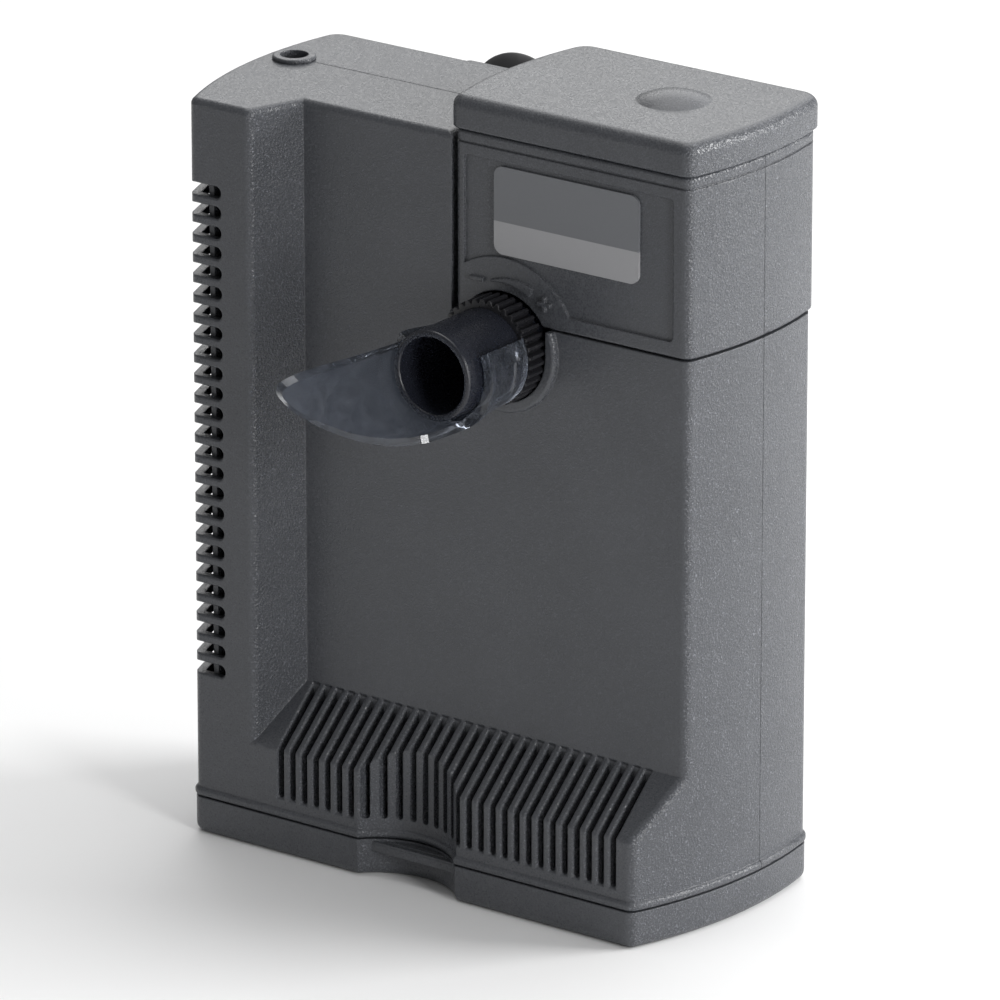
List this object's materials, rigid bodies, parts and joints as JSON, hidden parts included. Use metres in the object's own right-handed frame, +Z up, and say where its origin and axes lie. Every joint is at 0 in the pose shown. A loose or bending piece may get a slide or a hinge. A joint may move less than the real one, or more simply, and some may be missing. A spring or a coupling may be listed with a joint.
{
  "type": "internal aquarium filter with pump",
  "caption": "Flat box-shaped internal aquarium filter with grille, lift-out pump head, knurled flow regulator and clear outlet deflector.",
  "frame": {"origin": "middle of the underside of the base tray", "axes": "+X right seen from the front, -Y towards the outlet side (front), +Z up"},
  "size_m": [0.1424, 0.1228, 0.1904],
  "materials": {
    "housing": "fine spark-eroded dark grey moulding",
    "head": "fine spark-eroded dark grey moulding",
    "soft_rubber": "satin black rubber",
    "coarse_foam": "open-cell coarse filter foam",
    "fine_foam": "open-cell fine filter foam",
    "badge": "two-tone grey satin label",
    "motor_plastic": "moulded black plastic",
    "laminated_steel": "stacked steel laminations",
    "bobbin_plastic": "natural moulded plastic",
    "copper_wire": "enamelled winding wire",
    "resin": "cast black resin",
    "ceramic": "ground white ceramic",
    "magnet": "ferrite magnet",
    "impeller_plastic": "moulded grey plastic",
    "steel": "stainless screws",
    "outlet": "smooth blue-black moulding",
    "ring": "black knurled moulding",
    "clear_plastic": "smoke-clear moulding",
    "cable_rubber": "black cable sheath"
  },
  "bodies": {
    "housing": {"front_shell": "housing", "rear_shell": "housing", "chamber_divider": "housing", "air_socket": "housing", "cup_bracket": "housing", "suction_cups": "soft_rubber"},
    "tray": {"base_tray": "housing", "support_grid": "housing", "coarse_foam": "coarse_foam", "fine_foam": "fine_foam"},
    "pump_head": {"head_front": "head", "head_rear": "head", "head_floor": "head", "head_badge": "badge", "motor_case": "motor_plastic", "stator_core": "laminated_steel", "coil_bobbins": "bobbin_plastic", "stator_coils": "copper_wire", "rotor_can": "motor_plastic", "motor_potting": "resin", "upper_shaft_bush": "soft_rubber", "lower_shaft_bush": "soft_rubber", "rotor_shaft": "ceramic", "volute": "motor_plastic", "volute_cover": "motor_plastic", "intake_strainer": "motor_plastic", "volute_screws": "steel", "duct_o_ring": "soft_rubber", "power_cable": "cable_rubber", "cable_grommet": "soft_rubber"},
    "cap": {"head_cap": "head"},
    "rotor": {"rotor_magnet": "magnet", "impeller": "impeller_plastic"},
    "regulator": {"outlet_nozzle": "outlet", "regulator_ring": "ring", "flow_gate": "ring"},
    "deflector": {"outlet_deflector": "clear_plastic"}
  },
  "joints": [
    {"name": "housing_lift", "type": "slide", "parent": "tray", "child": "housing", "axis": [0, 0, 1], "range_m": [0, 0.06]},
    {"name": "head_lift", "type": "slide", "parent": "housing", "child": "pump_head", "axis": [0, 0, 1], "range_m": [0, 0.06]},
    {"name": "cap_lift", "type": "slide", "parent": "pump_head", "child": "cap", "axis": [0, 0, 1], "range_m": [0, 0.025]},
    {"name": "rotor_spin", "type": "hinge", "parent": "pump_head", "child": "rotor", "pos_m": [0.0349, 0.008, 0.13], "axis": [0, 0, 1], "continuous": true},
    {"name": "regulator_turn", "type": "hinge", "parent": "pump_head", "child": "regulator", "pos_m": [0.0161, -0.02, 0.1314], "axis": [0, -1, 0], "range_deg": [-35, 35]},
    {"name": "deflector_turn", "type": "hinge", "parent": "regulator", "child": "deflector", "pos_m": [0.0161, -0.03, 0.1314], "axis": [0, -1, 0], "continuous": true}
  ]
}
